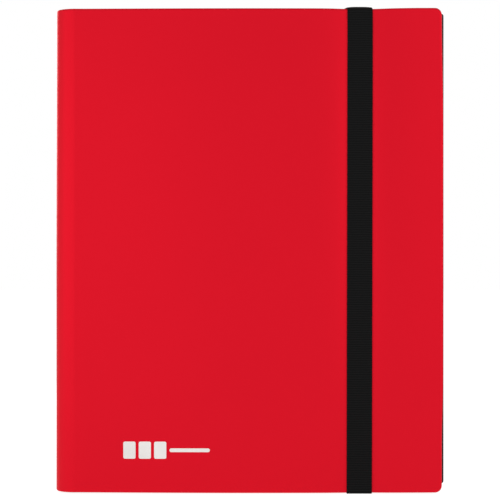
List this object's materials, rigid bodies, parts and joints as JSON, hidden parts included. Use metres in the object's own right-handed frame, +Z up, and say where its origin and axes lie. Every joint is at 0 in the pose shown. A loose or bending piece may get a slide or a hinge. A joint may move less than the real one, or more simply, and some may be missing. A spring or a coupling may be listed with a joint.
{
  "type": "trading card binder",
  "caption": "Closed card binder with padded covers, rounded spine, woven elastic strap and black pages with clear side-loading card pockets.",
  "frame": {"origin": "centre of the bounding box, at its bottom, with the binder standing upright and closed", "axes": "+Z up towards the top edge, -Y out of the front cover, -X towards the spine, +X towards the fore-edge"},
  "size_m": [0.2504, 0.0288, 0.3128],
  "materials": {
    "cover_skin": "matte, fine grain",
    "padding": "thin closed-cell foam",
    "board": "pressed grey board",
    "liner": "matte lining",
    "mark": "flat print",
    "page_sheet": "matte",
    "pocket_film": "clear film",
    "strap": "ribbed woven elastic"
  },
  "bodies": {
    "back_cover": {"back_cover_skin": "cover_skin", "back_padding": "padding", "back_board": "board", "back_liner": "liner"},
    "spine": {"spine_skin": "cover_skin", "spine_stiffener": "board", "spine_liner": "liner", "binding_block": "page_sheet"},
    "front_cover": {"front_cover_skin": "cover_skin", "front_padding": "padding", "front_board": "board", "front_liner": "liner", "cover_mark": "mark"},
    "strap": {"elastic_strap": "strap"},
    "page_01": {"page_core_01": "page_sheet", "page_pockets_01": "pocket_film"},
    "page_02": {"page_core_02": "page_sheet", "page_pockets_02": "pocket_film"},
    "page_03": {"page_core_03": "page_sheet", "page_pockets_03": "pocket_film"},
    "page_04": {"page_core_04": "page_sheet", "page_pockets_04": "pocket_film"},
    "page_05": {"page_core_05": "page_sheet", "page_pockets_05": "pocket_film"},
    "page_06": {"page_core_06": "page_sheet", "page_pockets_06": "pocket_film"},
    "page_07": {"page_core_07": "page_sheet", "page_pockets_07": "pocket_film"},
    "page_08": {"page_core_08": "page_sheet", "page_pockets_08": "pocket_film"},
    "page_09": {"page_core_09": "page_sheet", "page_pockets_09": "pocket_film"},
    "page_10": {"page_core_10": "page_sheet", "page_pockets_10": "pocket_film"},
    "page_11": {"page_core_11": "page_sheet", "page_pockets_11": "pocket_film"},
    "page_12": {"page_core_12": "page_sheet", "page_pockets_12": "pocket_film"},
    "page_13": {"page_core_13": "page_sheet", "page_pockets_13": "pocket_film"},
    "page_14": {"page_core_14": "page_sheet", "page_pockets_14": "pocket_film"},
    "page_15": {"page_core_15": "page_sheet", "page_pockets_15": "pocket_film"},
    "page_16": {"page_core_16": "page_sheet", "page_pockets_16": "pocket_film"},
    "page_17": {"page_core_17": "page_sheet", "page_pockets_17": "pocket_film"},
    "page_18": {"page_core_18": "page_sheet", "page_pockets_18": "pocket_film"},
    "page_19": {"page_core_19": "page_sheet", "page_pockets_19": "pocket_film"},
    "page_20": {"page_core_20": "page_sheet", "page_pockets_20": "pocket_film"}
  },
  "joints": [
    {"name": "spine_fold", "type": "hinge", "parent": "back_cover", "child": "spine", "pos_m": [-0.11175, 0.0135, 0], "axis": [0, 0, -1], "range_deg": [0, 90]},
    {"name": "front_cover_fold", "type": "hinge", "parent": "spine", "child": "front_cover", "pos_m": [-0.11175, -0.0135, 0], "axis": [0, 0, -1], "range_deg": [0, 90]},
    {"name": "strap_release", "type": "slide", "parent": "back_cover", "child": "strap", "axis": [1, 0, 0], "range_m": [0, 0.062], "deforming": ["elastic_strap"]},
    {"name": "page_turn_01", "type": "hinge", "parent": "spine", "child": "page_01", "pos_m": [-0.1075, -0.00912, 0], "axis": [0, 0, -1], "range_deg": [0, 90]},
    {"name": "page_turn_02", "type": "hinge", "parent": "spine", "child": "page_02", "pos_m": [-0.1075, -0.00816, 0], "axis": [0, 0, -1], "range_deg": [0, 90]},
    {"name": "page_turn_03", "type": "hinge", "parent": "spine", "child": "page_03", "pos_m": [-0.1075, -0.0072, 0], "axis": [0, 0, -1], "range_deg": [0, 90]},
    {"name": "page_turn_04", "type": "hinge", "parent": "spine", "child": "page_04", "pos_m": [-0.1075, -0.00624, 0], "axis": [0, 0, -1], "range_deg": [0, 90]},
    {"name": "page_turn_05", "type": "hinge", "parent": "spine", "child": "page_05", "pos_m": [-0.1075, -0.00528, 0], "axis": [0, 0, -1], "range_deg": [0, 90]},
    {"name": "page_turn_06", "type": "hinge", "parent": "spine", "child": "page_06", "pos_m": [-0.1075, -0.00432, 0], "axis": [0, 0, -1], "range_deg": [0, 90]},
    {"name": "page_turn_07", "type": "hinge", "parent": "spine", "child": "page_07", "pos_m": [-0.1075, -0.00336, 0], "axis": [0, 0, -1], "range_deg": [0, 90]},
    {"name": "page_turn_08", "type": "hinge", "parent": "spine", "child": "page_08", "pos_m": [-0.1075, -0.0024, 0], "axis": [0, 0, -1], "range_deg": [0, 90]},
    {"name": "page_turn_09", "type": "hinge", "parent": "spine", "child": "page_09", "pos_m": [-0.1075, -0.00144, 0], "axis": [0, 0, -1], "range_deg": [0, 90]},
    {"name": "page_turn_10", "type": "hinge", "parent": "spine", "child": "page_10", "pos_m": [-0.1075, -0.00048, 0], "axis": [0, 0, -1], "range_deg": [0, 90]},
    {"name": "page_turn_11", "type": "hinge", "parent": "spine", "child": "page_11", "pos_m": [-0.1075, 0.00048, 0], "axis": [0, 0, -1], "range_deg": [-90, 0]},
    {"name": "page_turn_12", "type": "hinge", "parent": "spine", "child": "page_12", "pos_m": [-0.1075, 0.00144, 0], "axis": [0, 0, -1], "range_deg": [-90, 0]},
    {"name": "page_turn_13", "type": "hinge", "parent": "spine", "child": "page_13", "pos_m": [-0.1075, 0.0024, 0], "axis": [0, 0, -1], "range_deg": [-90, 0]},
    {"name": "page_turn_14", "type": "hinge", "parent": "spine", "child": "page_14", "pos_m": [-0.1075, 0.00336, 0], "axis": [0, 0, -1], "range_deg": [-90, 0]},
    {"name": "page_turn_15", "type": "hinge", "parent": "spine", "child": "page_15", "pos_m": [-0.1075, 0.00432, 0], "axis": [0, 0, -1], "range_deg": [-90, 0]},
    {"name": "page_turn_16", "type": "hinge", "parent": "spine", "child": "page_16", "pos_m": [-0.1075, 0.00528, 0], "axis": [0, 0, -1], "range_deg": [-90, 0]},
    {"name": "page_turn_17", "type": "hinge", "parent": "spine", "child": "page_17", "pos_m": [-0.1075, 0.00624, 0], "axis": [0, 0, -1], "range_deg": [-90, 0]},
    {"name": "page_turn_18", "type": "hinge", "parent": "spine", "child": "page_18", "pos_m": [-0.1075, 0.0072, 0], "axis": [0, 0, -1], "range_deg": [-90, 0]},
    {"name": "page_turn_19", "type": "hinge", "parent": "spine", "child": "page_19", "pos_m": [-0.1075, 0.00816, 0], "axis": [0, 0, -1], "range_deg": [-90, 0]},
    {"name": "page_turn_20", "type": "hinge", "parent": "spine", "child": "page_20", "pos_m": [-0.1075, 0.00912, 0], "axis": [0, 0, -1], "range_deg": [-90, 0]}
  ],
  "couplings": [
    {"joint": "front_cover_fold", "follows": "spine_fold", "ratio": 1},
    {"joint": "strap_release", "follows": "spine_fold", "m_per_rad": 0.0394},
    {"joint": "page_turn_01", "follows": "spine_fold", "ratio": 0.95556},
    {"joint": "page_turn_02", "follows": "spine_fold", "ratio": 0.9},
    {"joint": "page_turn_03", "follows": "spine_fold", "ratio": 0.84444},
    {"joint": "page_turn_04", "follows": "spine_fold", "ratio": 0.78889},
    {"joint": "page_turn_05", "follows": "spine_fold", "ratio": 0.73333},
    {"joint": "page_turn_06", "follows": "spine_fold", "ratio": 0.67778},
    {"joint": "page_turn_07", "follows": "spine_fold", "ratio": 0.62222},
    {"joint": "page_turn_08", "follows": "spine_fold", "ratio": 0.56667},
    {"joint": "page_turn_09", "follows": "spine_fold", "ratio": 0.51111},
    {"joint": "page_turn_10", "follows": "spine_fold", "ratio": 0.45556},
    {"joint": "page_turn_11", "follows": "spine_fold", "ratio": -0.45556},
    {"joint": "page_turn_12", "follows": "spine_fold", "ratio": -0.51111},
    {"joint": "page_turn_13", "follows": "spine_fold", "ratio": -0.56667},
    {"joint": "page_turn_14", "follows": "spine_fold", "ratio": -0.62222},
    {"joint": "page_turn_15", "follows": "spine_fold", "ratio": -0.67778},
    {"joint": "page_turn_16", "follows": "spine_fold", "ratio": -0.73333},
    {"joint": "page_turn_17", "follows": "spine_fold", "ratio": -0.78889},
    {"joint": "page_turn_18", "follows": "spine_fold", "ratio": -0.84444},
    {"joint": "page_turn_19", "follows": "spine_fold", "ratio": -0.9},
    {"joint": "page_turn_20", "follows": "spine_fold", "ratio": -0.95556}
  ]
}
